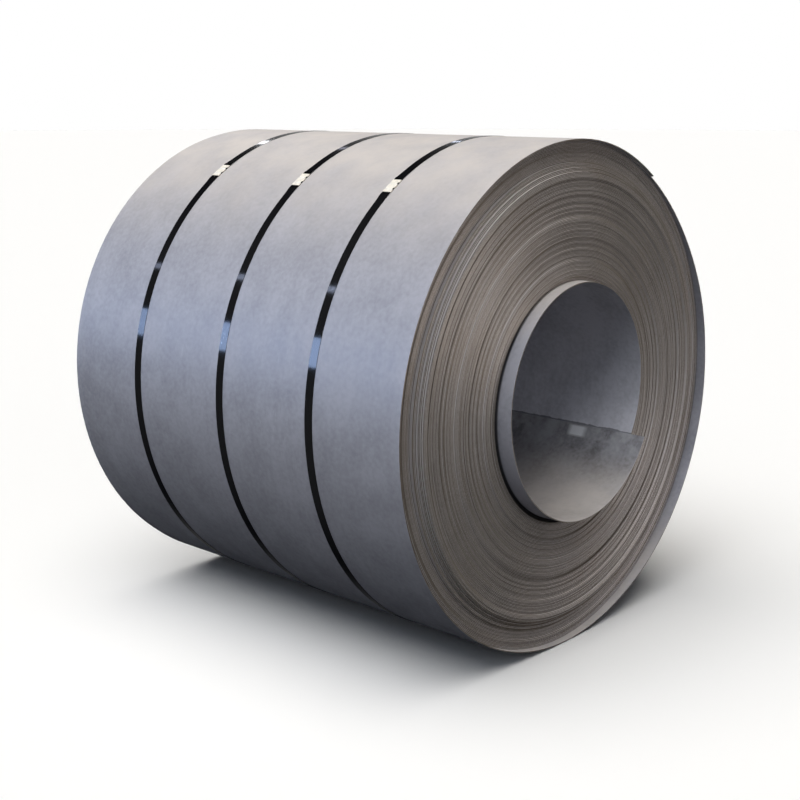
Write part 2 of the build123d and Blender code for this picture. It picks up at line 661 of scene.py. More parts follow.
        # Last turns, which follow the curve of the rim
        rim_way = w.total(turn, w.product(last_turn, -1.0), given["Rim Turns"])
        rim_place = w.math("DIVIDE", rim_way, given["Rim Turns"])
        rim = w.product(w.curve(rim_place, self.rim_curve), self.rim_span)
        rim = w.product(w.total(rim, -1.0), wander)
        body = w.mix(w.math("GREATER_THAN", rim_place, 0.0), pack, rim)

        offset = w.total(body, inner)
        for rate, shift, share in self.waves:
            wave = w.line_noise(turn, rate, w.total(given["Seed"], shift))
            offset = w.total(offset, w.product(wave, share, given["Flutter"]))
        offset = w.math("MAXIMUM", offset, w.product(wander, -1.0))
        w.node("NodeGroupOutput", {"Offset": w.math("MINIMUM", offset, given["Lead Rise"])})
        return w.tree

    def _radius_tree(self) -> bpy.types.NodeTree:
        """Make the group that gives the radius of the strip's inner face at a turn."""
        inputs = floats("Turn", "Turns", "Bore Radius", "Thickness", "Lead Lap", "Tail Share", "Tail Lap")
        w, given = start_tree("turn_radius", "GeometryNodeTree", inputs, floats("Radius"))
        turn = given["Turn"]
        whole = w.math("FLOOR", w.total(turn, TINY))
        part = w.math("SUBTRACT", turn, whole)
        lead_climb = w.fade(part, w.rest(given["Lead Lap"]), 1.0, 0.0, 1.0, Fade.EASED)
        climb_end = w.total(given["Tail Share"], given["Tail Lap"])
        tail_climb = w.fade(part, given["Tail Share"], climb_end, 0.0, 1.0, Fade.EASED)
        depth = w.math("DIVIDE", turn, given["Turns"])
        climbed = w.total(whole, w.mix(depth, lead_climb, tail_climb))
        radius = w.total(given["Bore Radius"], w.product(climbed, given["Thickness"]))
        w.node("NodeGroupOutput", {"Radius": radius})
        return w.tree

    def _point_tree(self) -> bpy.types.NodeTree:
        """Make the group that places one vertex of the strip by its column, its row and its end.

        Columns run round one turn, with two of them at the tail, and rows run from the eye outwards.

        Returns:
            The tree of the group.
        """
        wander_tree = self._wander_tree()
        radius_tree = self._radius_tree()
        inputs = {**floats("Column", "Row", "Side"), **size_sockets(self.inputs)}
        outputs = {"Position": "NodeSocketVector", **floats("Turn", "Wall")}
        w, given = start_tree("strip_point", "GeometryNodeTree", inputs, outputs)
        sizes = {name: given[name] for name in self.inputs}
        column, row, side = given["Column"], given["Row"], given["Side"]

        # Share of a turn at this column, with the two columns at the tail a hair apart
        last = w.total(given["Segments"], -1.0)
        tail_column = w.math("ROUND", w.product(given["Tail Share"], last))
        before = w.product(given["Tail Share"], w.math("DIVIDE", column, tail_column))
        after_start = w.total(given["Tail Share"], self.tail_slit)
        after_steps = w.math("SUBTRACT", last, tail_column)
        after_place = w.math("DIVIDE", w.total(column, -1.0, w.product(tail_column, -1.0)), after_steps)
        past_tail = w.math("GREATER_THAN", column, tail_column)
        share = w.mix(past_tail, before, w.mix(after_place, after_start, 1.0))

        # Turn at this row, which stays at the outermost one there is
        counted = w.math("FLOOR", w.math("DIVIDE", row, self.TURN_ROWS))
        step = w.math("SUBTRACT", row, w.product(counted, self.TURN_ROWS))
        outermost = w.math("SUBTRACT", given["Turns"], past_tail)
        outside = w.math("GREATER_THAN", counted, outermost)
        turn = w.total(w.math("MINIMUM", counted, outermost), share)
        foot = w.math("LESS_THAN", step, 0.5)
        low = w.math("MAXIMUM", foot, outside)

        def ask(tree: bpy.types.NodeTree, at_turn: Term) -> bpy.types.NodeSocket:
            """Give what one of the groups by turn says at a turn."""
            return w.group(tree, {"Turn": at_turn, **sizes})[0]

        # Radius between the two faces of the turn
        gap_share = w.math("DIVIDE", given["Groove Width"], w.product(given["Thickness"], 2.0))
        inner_corner = w.math("LESS_THAN", step, 1.5)
        corner = w.mix(inner_corner, w.rest(gap_share), gap_share)
        across = w.math("MAXIMUM", w.product(corner, w.rest(foot)), outside)
        radius = w.mix(across, ask(radius_tree, turn), ask(radius_tree, w.total(turn, 1.0)))

        # Offset along the eye, which at the foot of a groove follows the lower of its two turns
        own = ask(wander_tree, turn)
        under = ask(wander_tree, w.total(turn, -1.0))
        lower = w.product(side, w.math("MINIMUM", w.product(side, own), w.product(side, under)))
        between = w.product(foot, w.math("GREATER_THAN", counted, 0.5), w.rest(outside))
        level = w.mix(between, own, lower)
        beside = w.mix(inner_corner, ask(wander_tree, w.total(turn, 1.0)), under)
        wall = w.math("MAXIMUM", w.product(side, w.math("SUBTRACT", own, beside)), low)
        level = w.total(level, w.product(side, low, given["Groove Depth"], -1.0))
        along = w.total(level, w.product(side, given["Width"], 0.5))

        angle = w.math("SUBTRACT", given["Lead Angle"], w.product(share, math.tau))
        position = w.round_axis(along, radius, angle)
        w.node("NodeGroupOutput", {"Position": position, "Turn": turn, "Wall": wall})
        return w.tree

    def _roll_tree(self) -> bpy.types.NodeTree:
        """Make the tree of the whole roll: two end sheets, two walls and the cut lead end."""
        point_tree = self._point_tree()
        w, given = start_piece("wound_strip", self.inputs)
        sizes = {name: given[name] for name in self.inputs}
        columns = w.total(given["Segments"], 1.0)
        last_row = w.product(w.total(given["Turns"], 1.0), self.TURN_ROWS)
        rows = w.total(last_row, 1.0)
        index = w.node("GeometryNodeInputIndex").outputs[0]

        def ends(way: Term) -> bpy.types.NodeSocket:
            """Turn 0 and 1 along a grid's way into the far and the near end of the strip."""
            return w.total(w.product(way, 2.0), -1.0)

        def sheet(count_x: Term, count_y: Term, place: Sheet, edge: Term) -> bpy.types.NodeSocket:
            """Lay one grid of the strip's vertices.

            Args:
                count_x: Vertices along the grid's first way.
                count_y: Vertices along its second way.
                place: Which part of the surface it is.
                edge: Mask of the faces that are the strip's edge.

            Returns:
                The grid's geometry.
            """
            grid = w.node("GeometryNodeMeshGrid", {"Vertices X": count_x, "Vertices Y": count_y})
            way_x = w.math("FLOOR", w.math("DIVIDE", w.total(index, 0.5), count_y))
            way_y = w.math("SUBTRACT", index, w.product(way_x, count_y))
            match place:
                case Sheet.NEAR_END:
                    spot = (way_x, way_y, 1.0)
                case Sheet.FAR_END:
                    spot = (way_x, way_y, -1.0)
                case Sheet.BORE:
                    spot = (way_x, 0.0, ends(way_y))
                case Sheet.OUTSIDE:
                    spot = (way_x, last_row, w.product(ends(way_y), -1.0))
                case Sheet.LEAD_CUT:
                    spot = (0.0, way_y, ends(way_x))
            column, row, side = spot
            point = w.group(point_tree, {"Column": column, "Row": row, "Side": side, **sizes})
            layout = w.node("ShaderNodeVectorMath", operation="MULTIPLY_ADD")
            start, height = self.BAKE_BANDS[place]
            terms = (grid.outputs["UV Map"], (1.0, height, 0.0), (0.0, start, 0.0))
            for socket, term in zip(layout.inputs, terms):
                w.feed(socket, term)
            geometry = grid.outputs["Mesh"]
            for name, data_type, domain, value in (
                ("OFBake", "FLOAT2", "CORNER", layout.outputs[0]),
                ("strip_edge", "FLOAT", "FACE", edge),
                ("strip_bore", "FLOAT", "FACE", 1.0 if place is Sheet.BORE else 0.0),
                ("strip_turn", "FLOAT", "POINT", point["Turn"]),
                ("strip_wall", "FLOAT", "POINT", point["Wall"]),
            ):
                geometry = w.store(geometry, name, data_type, domain, value)
            geometry = w.through("GeometryNodeSetPosition", geometry, Position=point["Position"])
            if place is Sheet.FAR_END:
                return w.node("GeometryNodeFlipFaces", {"Mesh": geometry}).outputs[0]
            return geometry

        # Faces between the two corners of a turn, which are the strip's edge
        face_row = w.math("MODULO", index, last_row)
        face_step = w.math("MODULO", face_row, self.TURN_ROWS)
        top_face = w.math("COMPARE", face_step, 1.0, 0.1)
        joined = w.node("GeometryNodeJoinGeometry")
        for part in (
            sheet(columns, rows, Sheet.NEAR_END, top_face),
            sheet(columns, rows, Sheet.FAR_END, top_face),
            sheet(columns, 2, Sheet.OUTSIDE, 0.0),
            sheet(columns, 2, Sheet.BORE, 0.0),
            sheet(2, self.TURN_ROWS + 1, Sheet.LEAD_CUT, 1.0),
        ):
            w.feed(joined.inputs[0], part)
        geometry = w.through("GeometryNodeTransform", joined.outputs[0], Translation=given["Centre"])
        geometry = w.through("GeometryNodeMergeByDistance", geometry, Distance=self.weld)
        wall = w.node("GeometryNodeInputNamedAttribute", {"Name": "strip_wall"}, data_type="FLOAT")
        tall = w.math("GREATER_THAN", wall.outputs["Attribute"], given["Round Wall"])
        geometry = mark_sharp(w, geometry, self.sharp_angle, tall)
        geometry = w.through("GeometryNodeRemoveAttribute", geometry, Name="strip_wall")
        end_piece(w, given, geometry)
        return w.tree


@dataclass
class Strap:
    """A black steel strap: a taut band round the roll, with its ends lapped where the seal holds them.

    Attributes:
        band: Which strap it is.
        roll: Roll that it binds.
        thickness: Thickness of the strap.
        free_end: How far the lapped end reaches past the seal.
        sink: Length over which the upper end comes down to the roll on the other side.
        lap_layers: Height of the upper layer's middle, over the seal and where it ends, in thicknesses.
        lap_points: Points along the upper layer.
        seal_length: Length of the seal.
        seal_sheet: Sheet thickness of the seal, whose lips lie under the strap.
        bed_reach: Angle from the seal up to which the line of its flat bed is drawn, in radians.
        edge_radius: Radius of the strap's long edges.
        edge_steps: Points on each of those edges.
        sharp_angle: Fold past which an edge is sharp, in degrees.
        points: Points round the loop.
    """

    band: Band
    roll: WoundStrip
    thickness: float = 0.97 * MM
    free_end: float = 14 * MM
    sink: float = 20 * MM
    lap_layers: Pair = (1.5, 0.4)
    lap_points: int = 41
    seal_length: float = 60 * MM
    seal_sheet: float = 1 * MM
    bed_reach: float = 1.2
    edge_radius: float = 0.3 * MM
    edge_steps: int = 2
    sharp_angle: float = 15.0
    points: int = 720

    @property
    def node(self) -> str:
        """Name of the CAD node that the strap replaces."""
        return f"strap_{self.band.value}"

    @property
    def middle_x(self) -> float:
        """Middle of the strap along X."""
        low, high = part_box(self.node)
        return (low.x + high.x) / 2

    @property
    def width(self) -> float:
        """Width of the strap."""
        low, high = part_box(self.node)
        return high.x - low.x

    @property
    def seal_angle(self) -> float:
        """Angle of the middle of the seal, in radians."""
        low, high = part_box(f"seal_{self.band.value}")
        middle = (low + high) / 2
        return math.atan2(middle.z - self.roll.sizes.axis_height, middle.y)

    @property
    def inputs(self) -> dict[str, float | int]:
        """Sizes by the name of the input that takes them."""
        return {
            "Radius": self.roll.sizes.outer_radius,
            "Seal Angle": self.seal_angle,
            "Bed Half": self.seal_length / 2 + self.free_end,
            "Bed Lift": self.seal_sheet,
            "Tail Angle": math.radians(self.roll.tail_angle),
            "Tail Lap": self.roll.tail_lap * math.tau,
            "Tail Step": self.roll.thickness,
            "Width": self.width,
            "Thickness": self.thickness,
            "Edge Radius": self.edge_radius,
            "Sink": self.sink,
            "Points": self.points,
        }

    def build(self, finish: bpy.types.Material) -> bpy.types.Object:
        """Grow the strap.

        Args:
            finish: Material of the strap.

        Returns:
            The strap as a plain mesh.
        """
        centre = (self.middle_x, 0.0, self.roll.sizes.axis_height)
        values = {**self.inputs, "Centre": centre, "Material": finish}
        return grown_mesh(f"black_{self.node}", self._strap_tree(), values)

    def dress(self, piece: bpy.types.Object) -> None:
        """Put the strap in the place of the CAD strap."""
        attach(piece, "root")
        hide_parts(self.node)

    def _reach_tree(self) -> bpy.types.NodeTree:
        """Make the group that gives the radius of the taut strap's inner face at an angle."""
        inputs = floats(
            "Angle", "Radius", "Seal Angle", "Bed Half", "Bed Lift", "Tail Angle", "Tail Lap", "Tail Step"
        )
        w, given = start_tree("taut_reach", "GeometryNodeTree", inputs, floats("Radius"))
        radius, angle = given["Radius"], given["Angle"]

        # Flat bed under the seal, then straight down to where the strap touches the roll
        turned = w.math("WRAP", w.math("SUBTRACT", angle, given["Seal Angle"]), math.pi, -math.pi)
        away = w.math("MINIMUM", w.math("ABSOLUTE", turned), self.bed_reach)
        bed_radius = w.total(radius, given["Bed Lift"])
        corner_angle = w.math("ARCTAN2", given["Bed Half"], bed_radius)
        corner_radius = w.math("DIVIDE", bed_radius, w.math("COSINE", corner_angle))
        touch = w.total(corner_angle, w.math("ARCCOSINE", w.math("DIVIDE", radius, corner_radius)))
        bed = w.math("DIVIDE", bed_radius, w.math("COSINE", away))
        slope = w.math("MAXIMUM", w.math("SUBTRACT", touch, away), 0.0)
        leaving = w.math("DIVIDE", radius, w.math("COSINE", slope))
        taut = w.math("MINIMUM", bed, leaving)

        # Dip past the tail of the roll, bridged straight from the corner of the step
        step = given["Tail Step"]
        past = w.math("WRAP", w.math("SUBTRACT", given["Tail Angle"], angle), math.tau, 0.0)
        surface = w.fade(past, 0.0, given["Tail Lap"], step, 0.0, Fade.EASED)
        low_share = w.math("DIVIDE", w.math("SUBTRACT", radius, step), radius)
        bridge = w.fade(past, 0.0, w.math("ARCCOSINE", low_share), 0.0, step)
        dip = w.math("MINIMUM", surface, bridge)
        w.node("NodeGroupOutput", {"Radius": w.math("SUBTRACT", taut, dip)})
        return w.tree

    def _strap_tree(self) -> bpy.types.NodeTree:
        """Make the tree that all straps share: the loop and the upper layer of its lap, on taut lines."""
        if "taut_strap" in bpy.data.node_groups:
            return bpy.data.node_groups["taut_strap"]
        reach_tree = self._reach_tree()
        w, given = start_piece("taut_strap", self.inputs)
        sizes = {name: given[name] for name in self.inputs}
        index = w.node("GeometryNodeInputIndex").outputs[0]
        outline = {"Width": given["Width"], "Height": given["Thickness"]}
        section = w.node("GeometryNodeCurvePrimitiveQuadrilateral", outline)
        fillet = {"Curve": section.outputs[0], "Count": self.edge_steps, "Radius": given["Edge Radius"]}
        rounded = w.node("GeometryNodeFilletCurve", fillet, mode="POLY")

        def swept(path: Term, angle: Term, lift: Term, capped: bool) -> bpy.types.NodeSocket:
            """Sweep the strap's section along a path that follows the taut line.

            Args:
                path: Curve whose points are moved to the line.
                angle: Angle of each point.
                lift: Height of the section's middle over the line.
                capped: Whether the ends are closed.

            Returns:
                The swept mesh.
            """
            reach = w.group(reach_tree, {"Angle": angle, **sizes})[0]
            position = w.round_axis(0.0, w.total(reach, lift), angle)
            placed = w.through("GeometryNodeSetPosition", path, Position=position)
            upright = {"Curve": placed, "Normal": (1.0, 0.0, 0.0)}
            turned = w.node("GeometryNodeSetCurveNormal", upright, mode="FREE")
            sweep = {"Curve": turned.outputs[0], "Profile Curve": rounded.outputs[0], "Fill Caps": capped}
            return w.node("GeometryNodeCurveToMesh", sweep).outputs[0]

        circle = w.node("GeometryNodeCurvePrimitiveCircle", {"Resolution": given["Points"]})
        round_angle = w.math("DIVIDE", w.product(index, math.tau), given["Points"])
        loop = swept(circle.outputs[0], round_angle, w.product(given["Thickness"], 0.5), False)

        # Upper layer, from its free end past the seal to where it sinks into the loop
        line = w.node("GeometryNodeCurvePrimitiveLine").outputs[0]
        dense = w.node("GeometryNodeResampleCurve", {"Curve": line, "Count": self.lap_points})
        bed_angle = w.math("DIVIDE", given["Bed Half"], given["Radius"])
        lap_end = w.total(bed_angle, w.math("DIVIDE", given["Sink"], given["Radius"]))
        lap_share = w.math("DIVIDE", index, self.lap_points - 1.0)
        away = w.mix(lap_share, w.product(bed_angle, -1.0), lap_end)
        layer = w.fade(away, bed_angle, lap_end, *self.lap_layers)
        lap_angle = w.total(given["Seal Angle"], away)
        lap = swept(dense.outputs[0], lap_angle, w.product(layer, given["Thickness"]), True)

        joined = w.node("GeometryNodeJoinGeometry")
        w.feed(joined.inputs[0], loop)
        w.feed(joined.inputs[0], lap)
        geometry = w.through("GeometryNodeTransform", joined.outputs[0], Translation=given["Centre"])
        end_piece(w, given, mark_sharp(w, geometry, self.sharp_angle))
        return w.tree


@dataclass
class Seal:
    """A zinc-coated sleeve folded round the lapped strap ends and crimped at both edges.

    Attributes:
        strap: Strap that it holds.
        clearance: Room beside the strap.
        lip_reach: How far each lip reaches under the strap.
        fold_radius: Outer radius of the folds.
        fold_steps: Steps round one fold.
        crimp_places: Middles of the crimps along the seal.
        crimp_length: Length of one crimp.
        crimp_depth: How far a crimp bites into the edge.
        crimp_lift: How far a crimp turns the edge up.
        shear: Length over which a crimp starts and stops.
        sharp_angle: Fold past which an edge is sharp, in degrees.
    """

    strap: Strap
    clearance: float = 0.3 * MM
    lip_reach: float = 11 * MM
    fold_radius: float = 1.0 * MM
    fold_steps: int = 3
    crimp_places: Pair = (-13 * MM, 13 * MM)
    crimp_length: float = 8 * MM
    crimp_depth: float = 3 * MM
    crimp_lift: float = 1.2 * MM
    shear: float = 0.5 * MM
    sharp_angle: float = 40.0

    @property
    def half_width(self) -> float:
        """Half of the sleeve's width."""
        return self.strap.width / 2 + self.clearance + self.strap.seal_sheet

    def build(self, finish: bpy.types.Material) -> bpy.types.Object:
        """Fold the sleeve.

        Args:
            finish: Material of the seal.

        Returns:
            The seal as a mesh.
        """
        name = f"zinc_seal_{self.strap.band.value}"
        work = bmesh.new()
        section = self._section()
        rings = []
        for along, bite in self._stations():
            ring = [self._place(across, height, along, bite) for across, height in section]
            rings.append([work.verts.new(point) for point in ring])
        for one, other in zip(rings, rings[1:]):
            for i in range(len(section)):
                j = (i + 1) % len(section)
                work.faces.new((one[i], one[j], other[j], other[i]))
        work.faces.new(list(reversed(rings[0])))
        work.faces.new(rings[-1])
        bmesh.ops.triangulate(work, faces=[face for face in work.faces if len(face.verts) > 4])
        bmesh.ops.recalc_face_normals(work, faces=work.faces)
        for face in work.faces:
            face.smooth = True
        for edge in work.edges:
            edge.smooth = edge.calc_face_angle(0.0) < math.radians(self.sharp_angle)
        mesh = bpy.data.meshes.new(name)
        work.to_mesh(mesh)
        work.free()
        mesh.materials.append(finish)
        return add_object(name, mesh)

    def dress(self, piece: bpy.types.Object) -> None:
        """Put the seal in the place of the CAD seal."""
        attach(piece, "root")
        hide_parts(f"seal_{self.strap.band.value}")

    def _section(self) -> list[Pair]:
        """Give the sleeve's section as points across the strap and over the roll, lip to lip and back."""
        sheet = self.strap.seal_sheet
        height = 2 * self.strap.thickness + 2 * sheet
        inner = self.half_width - sheet
        lip = inner - self.lip_reach
        fold_across = self.half_width - self.fold_radius
        fold_height = height - self.fold_radius
        outline = [(-lip, 0.0)]
        for centre_across, centre_height, start in (
            (-fold_across, self.fold_radius, 270),
            (-fold_across, fold_height, 180),
            (fold_across, fold_height, 90),
            (fold_across, self.fold_radius, 0),
        ):
            for step in range(self.fold_steps + 1):
                angle = math.radians(start - 90 / self.fold_steps * step)
                across = centre_across + self.fold_radius * math.cos(angle)
                outline.append((across, centre_height + self.fold_radius * math.sin(angle)))
        outline += [(lip, 0.0), (lip, sheet), (inner, sheet), (inner, height - sheet)]
        outline += [(-inner, height - sheet), (-inner, sheet), (-lip, sheet)]
        return outline

    def _stations(self) -> list[Pair]:
        """Give the places along the seal where its section is drawn, and how far each is crimped."""
        end = self.strap.seal_length / 2
        stations = [(-end, 0.0)]
        for middle in self.crimp_places:
            for side in (-1, 1):
                edge = middle + side * self.crimp_length / 2
                outer = (edge + side * self.shear, 0.0)
                inner = (edge, 1.0)
                stations += [outer, inner] if side < 0 else [inner, outer]
        stations.append((end, 0.0))
        return stations

    def _place(self, across: float, height: float, along: float, bite: float) -> Vector:
        """Give the place of a point of the sleeve.

        Args:
            across: Distance from the strap's middle line.
            height: Height over the roll.
            along: Distance from the seal's middle, along the strap.
            bite: Share of the crimp at this station.

        Returns:
            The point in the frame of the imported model.
        """
        bent = 2 * self.crimp_depth
        over = max(abs(across) - (self.half_width - bent), 0.0) / bent
        across -= math.copysign(bite * over * self.crimp_depth, across)
        height += bite * over * self.crimp_lift
        angle = self.strap.seal_angle
        roll = self.strap.roll.sizes
        out = Vector((0.0, math.cos(angle), math.sin(angle)))
        run = Vector((0.0, -math.sin(angle), math.cos(angle)))
        foot = Vector((self.strap.middle_x + across, 0.0, roll.axis_height))
        return foot + out * (roll.outer_radius + height) + run * along


class ShaderEffect(Enum):
    """Shared shader node groups, by name."""

    MOTTLE = "surface_mottle"
    STREAKS = "rolling_streaks"
    DUST = "settled_dust"
    SCUFFS = "fine_scuffs"


@dataclass(frozen=True)
class EffectShelf:
    """Makes the shared shader groups and wires them into materials.

    Noises are given by their scale, their detail and, where it isn't one half, their roughness. Spans
    are the noise values between which a mask passes from 0 to 1.

    Attributes:
        axis_height: Height of the eye's axis over the floor.
        cloud_details: Detail of the large and of the fine clouds.
        fine_ratio: How much finer the fine clouds are.
        fine_share: Share of the fine clouds.
        cloud_span: Span of the clouds.
        streak_detail: Detail of the streaks.
        streak_span: Span of the streaks.
        dust_full: Upward part of the normal at which dust lies in full.
        dust_noise: Noise of the patches of dust.
        dust_span: Span of those patches.
        dust_least: Dust between the patches.
        scratch_stretch: How much denser scratches are along X and along Y than along Z.
        scratch_detail: Detail of the scratches.
        scratch_span: Span of a scratch.
        scratched_noise: Noise of the places that are scratched.
        scratched_span: Span of those places.
    """

    axis_height: float
    cloud_details: Pair = (4.0, 3.0)
    fine_ratio: float = 9.0
    fine_share: float = 0.45
    cloud_span: Pair = (0.36, 0.64)
    streak_detail: float = 3.0
    streak_span: Pair = (0.32, 0.68)
    dust_full: float = 0.98
    dust_noise: Triple = (7.0, 5.0, 0.6)
    dust_span: Pair = (0.3, 0.7)
    dust_least: float = 0.6
    scratch_stretch: Pair = (9.0, 1.4)
    scratch_detail: float = 2.0
    scratch_span: Pair = (0.62, 0.72)
    scratched_noise: Pair = (9.0, 2.0)
    scratched_span: Pair = (0.5, 0.65)

    @staticmethod
    def use(w: Wiring, effect: ShaderEffect, **inputs: Term) -> bpy.types.NodeSocket:
        """Wire one effect into a material and give its mask."""
        return w.group(bpy.data.node_groups[effect.value], inputs)["Mask"]

    @staticmethod
    def _start(effect: ShaderEffect, *inputs: str) -> tuple[Wiring, Outputs, bpy.types.NodeSocket]:
        """Start a group.

        Args:
            effect: Which effect.
            *inputs: Names of its value inputs.

        Returns:
            The wiring, what the group's inputs give and the Object coordinates.
        """
        w, given = start_tree(effect.value, "ShaderNodeTree", floats(*inputs), floats("Mask"))
        return w, given, w.node("ShaderNodeTexCoord").outputs["Object"]

    def build(self) -> None:
        """Make each group once."""
        self._mottle()
        self._streaks()
        self._dust()
        self._scuffs()

    def _mottle(self) -> None:
        """Make cloudy patches of two sizes."""
        w, given, place = self._start(ShaderEffect.MOTTLE, "Scale")
        large = w.noise(place, given["Scale"], self.cloud_details[0])
        fine = w.noise(place, w.product(given["Scale"], self.fine_ratio), self.cloud_details[1])
        clouds = w.mix(self.fine_share, large, fine)
        w.node("NodeGroupOutput", {"Mask": w.fade(clouds, *self.cloud_span, 0.0, 1.0)})

    def _streaks(self) -> None:
        """Make streaks that run round the roll, as rolling left them."""
        w, given, place = self._start(ShaderEffect.STREAKS, "Across", "Around")
        along, across, over, radius = w.from_axis(place, self.axis_height)
        around_y = w.product(w.math("DIVIDE", across, radius), given["Around"])
        around_z = w.product(w.math("DIVIDE", over, radius), given["Around"])
        spot = w.vector(w.product(along, given["Across"]), around_y, around_z)
        noise = w.noise(spot, 1.0, self.streak_detail)
        w.node("NodeGroupOutput", {"Mask": w.fade(noise, *self.streak_span, 0.0, 1.0)})

    def _dust(self) -> None:
        """Make dust that lies on what faces up, in patches."""
        w, given, place = self._start(ShaderEffect.DUST, "Amount", "Start")
        normal = w.node("ShaderNodeNewGeometry").outputs["Normal"]
        upward = w.node("ShaderNodeSeparateXYZ", {"Vector": normal}).outputs["Z"]
        lying = w.fade(upward, given["Start"], self.dust_full, 0.0, 1.0, Fade.EASED)
        patches = w.fade(w.noise(place, *self.dust_noise), *self.dust_span, self.dust_least, 1.0)
        w.node("NodeGroupOutput", {"Mask": w.product(lying, patches, given["Amount"])})

    def _scuffs(self) -> None:
        """Make short fine scratches in places."""
        w, given, place = self._start(ShaderEffect.SCUFFS, "Scale", "Amount")
        split = w.node("ShaderNodeSeparateXYZ", {"Vector": place}).outputs
        dense_x, dense_y = self.scratch_stretch
        stretched = w.vector(w.product(split["X"], dense_x), w.product(split["Y"], dense_y), split["Z"])
        lines = w.noise(stretched, given["Scale"], self.scratch_detail)
        thin = w.fade(lines, *self.scratch_span, 0.0, 1.0)
        places = w.fade(w.noise(place, *self.scratched_noise), *self.scratched_span, 0.0, 1.0)
        w.node("NodeGroupOutput", {"Mask": w.product(thin, places, given["Amount"])})


def new_material(name: str) -> tuple[bpy.types.Material, Wiring, bpy.types.Node]:
    """Make a material with a Principled BSDF.

    Args:
        name: Name of the material.

    Returns:
        The material, its wiring and its shader.
    """
    material = bpy.data.materials.new(name)
    material.use_nodes = True
    return material, Wiring(material.node_tree), material.node_tree.nodes["Principled BSDF"]


@dataclass(frozen=True)
class StripPoint:
    """What the strip's material reads at a point.

    Attributes:
        place: Object coordinates.
        along: Place along the eye.
        across: Distance from the eye's axis along Y.
        over: Height over the eye's axis.
        radius: Distance from the eye's axis.
        turn: Turn along the strip.
        is_edge: Mask of the strip's edges.
        is_bore: Mask of the eye's wall.
        mottle: Mask of the clouds.
    """

    place: bpy.types.NodeSocket
    along: bpy.types.NodeSocket
    across: bpy.types.NodeSocket
    over: bpy.types.NodeSocket
    radius: bpy.types.NodeSocket
    turn: bpy.types.NodeSocket
    is_edge: bpy.types.NodeSocket
    is_bore: bpy.types.NodeSocket
    mottle: bpy.types.NodeSocket


